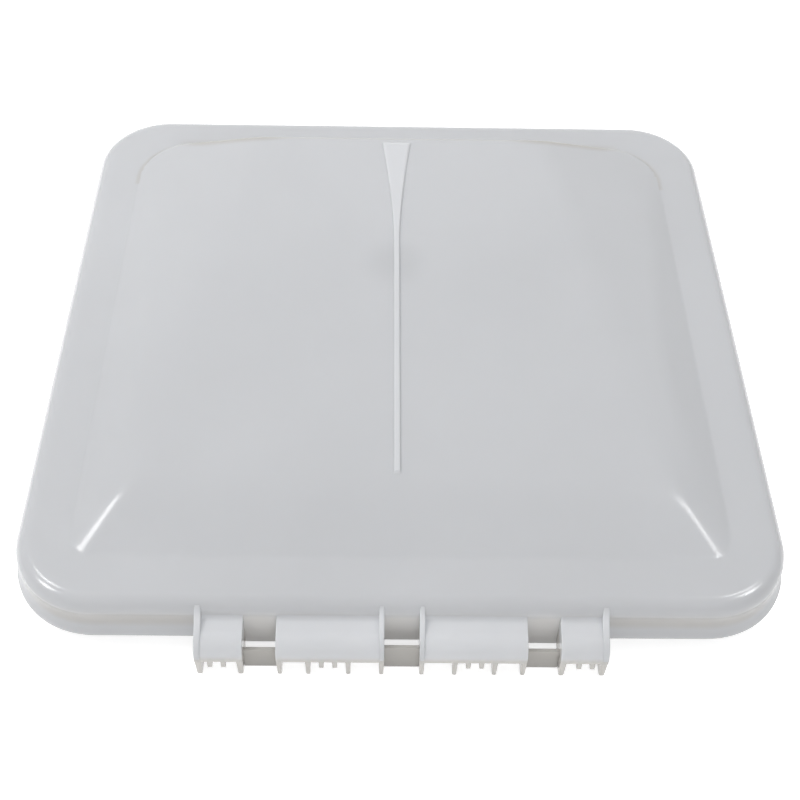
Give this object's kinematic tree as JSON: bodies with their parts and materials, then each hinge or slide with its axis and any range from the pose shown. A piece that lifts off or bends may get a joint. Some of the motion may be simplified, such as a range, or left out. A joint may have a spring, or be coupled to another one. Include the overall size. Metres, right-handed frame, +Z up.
{
  "type": "roof vent lid",
  "caption": "White moulded lid for a square caravan roof vent: raised faceted dome, rolled rim, ribbed hinge with a steel rod, and a lift track with slide block below.",
  "frame": {"origin": "middle of the roof opening that the skirt surrounds, in the plane of the skirt's lower edge", "axes": "+X along the hinge, +Y from the hinge side to the opening side, +Z up out of the roof"},
  "size_m": [0.3858, 0.3903, 0.0566],
  "materials": {
    "lid_plastic": "satin moulded white polypropylene, slightly translucent",
    "rod_steel": "drawn zinc plated rod",
    "clip_steel": "dark spring steel",
    "track_aluminium": "mill finish folded sheet",
    "screw_steel": "bright zinc plated",
    "block_nylon": "natural nylon"
  },
  "bodies": {
    "lid_body": {"lid": "lid_plastic", "arm_track": "track_aluminium", "track_screws": "screw_steel"},
    "hinge_rod_body": {"hinge_rod": "rod_steel", "rod_clip_left": "clip_steel", "rod_clip_right": "clip_steel"},
    "slide_block_body": {"slide_block": "block_nylon"}
  },
  "joints": [
    {"name": "rod_turn", "type": "hinge", "parent": "lid_body", "child": "hinge_rod_body", "pos_m": [0, -0.1923, -0.008], "axis": [1, 0, 0], "range_deg": [-80, 0]},
    {"name": "slide_travel", "type": "slide", "parent": "lid_body", "child": "slide_block_body", "axis": [0, 1, 0], "range_m": [-0.0445, 0.0445]}
  ]
}
